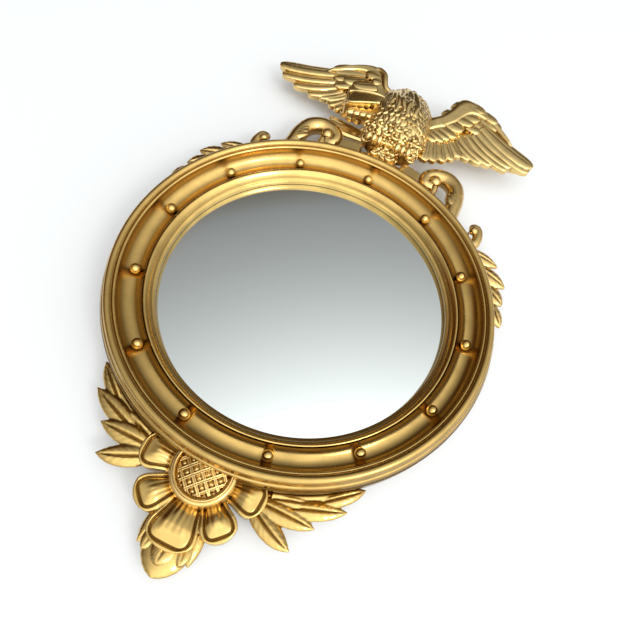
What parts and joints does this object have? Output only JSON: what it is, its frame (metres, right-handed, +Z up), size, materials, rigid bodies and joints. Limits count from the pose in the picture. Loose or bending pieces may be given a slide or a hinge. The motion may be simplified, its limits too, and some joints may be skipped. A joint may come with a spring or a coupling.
{
  "type": "girandole mirror",
  "caption": "Round convex wall mirror in a gilt ring set with balls, with a carved eagle and scrolls on top and a flower drop with leaf sprays below.",
  "frame": {"origin": "the hanging point: on the wall plane, level with the inside of the hanger ring's top", "axes": "+X to the viewer's right, +Z up, the mirror faces -Y and the wall is the plane y = 0"},
  "size_m": [0.414, 0.0639, 0.6625],
  "materials": {
    "gilt_ring": "satin gold paint on turned wood",
    "gilt_ball": "burnished gold paint",
    "gilt_carving": "gold paint on carved wood, darker in the hollows",
    "mirror": "silvered convex glass",
    "card": "matt grey-brown strawboard",
    "board": "smooth brown hardboard",
    "brass": "dull brass",
    "steel": "zinc-plated steel",
    "felt": "grey felt"
  },
  "bodies": {
    "frame": {"backing_board": "board", "ball_01": "gilt_ball", "ball_02": "gilt_ball", "ball_03": "gilt_ball", "ball_04": "gilt_ball", "ball_05": "gilt_ball", "ball_06": "gilt_ball", "ball_07": "gilt_ball", "ball_08": "gilt_ball", "ball_09": "gilt_ball", "ball_10": "gilt_ball", "ball_11": "gilt_ball", "ball_12": "gilt_ball", "ball_13": "gilt_ball", "boss_ring": "gilt_carving", "bud_leaf_left": "gilt_carving", "bud_leaf_right": "gilt_carving", "bumper_left": "felt", "bumper_right": "felt", "crest_leaves_left": "gilt_carving", "crest_leaves_right": "gilt_carving", "crest_plate": "steel", "crest_screw_1": "steel", "crest_screw_2": "steel", "crest_screw_3": "steel", "crest_screw_4": "steel", "drop_bud": "gilt_carving", "drop_plate": "steel", "drop_screw_1": "steel", "drop_screw_2": "steel", "eagle_body": "gilt_carving", "eagle_foot_left": "gilt_carving", "eagle_foot_right": "gilt_carving", "eagle_head": "gilt_carving", "eagle_tail": "gilt_carving", "eagle_wing_left": "gilt_carving", "eagle_wing_right": "gilt_carving", "flower_boss": "gilt_carving", "flower_petals": "gilt_carving", "frame_ring": "gilt_ring", "leaf_spray_left": "gilt_carving", "leaf_spray_right": "gilt_carving", "mirror_glass": "mirror", "plinth": "gilt_carving", "scroll_left": "gilt_carving", "scroll_right": "gilt_carving", "sight_slip": "gilt_ring", "spacer_ring": "card", "turn_screw_1": "brass", "turn_screw_2": "brass", "turn_screw_3": "brass", "turn_screw_4": "brass", "volute_left": "gilt_carving", "volute_right": "gilt_carving"},
    "hanger": {"hanger_ring": "steel"},
    "button_1": {"turn_button_1": "brass"},
    "button_2": {"turn_button_2": "brass"},
    "button_3": {"turn_button_3": "brass"},
    "button_4": {"turn_button_4": "brass"}
  },
  "joints": [
    {"name": "hanger_swing", "type": "hinge", "parent": "frame", "child": "hanger", "pos_m": [0, -0.0033, -0.0139], "axis": [-1, 0, 0], "range_deg": [0, 165]},
    {"name": "turn_button_1_turn", "type": "hinge", "parent": "frame", "child": "button_1", "pos_m": [0.12233, -0.0056, -0.11517], "axis": [0, 1, 0], "range_deg": [-90, 90]},
    {"name": "turn_button_2_turn", "type": "hinge", "parent": "frame", "child": "button_2", "pos_m": [0.12233, -0.0056, -0.35983], "axis": [0, 1, 0], "range_deg": [-90, 90]},
    {"name": "turn_button_3_turn", "type": "hinge", "parent": "frame", "child": "button_3", "pos_m": [-0.12233, -0.0056, -0.35983], "axis": [0, 1, 0], "range_deg": [-90, 90]},
    {"name": "turn_button_4_turn", "type": "hinge", "parent": "frame", "child": "button_4", "pos_m": [-0.12233, -0.0056, -0.11517], "axis": [0, 1, 0], "range_deg": [-90, 90]}
  ]
}
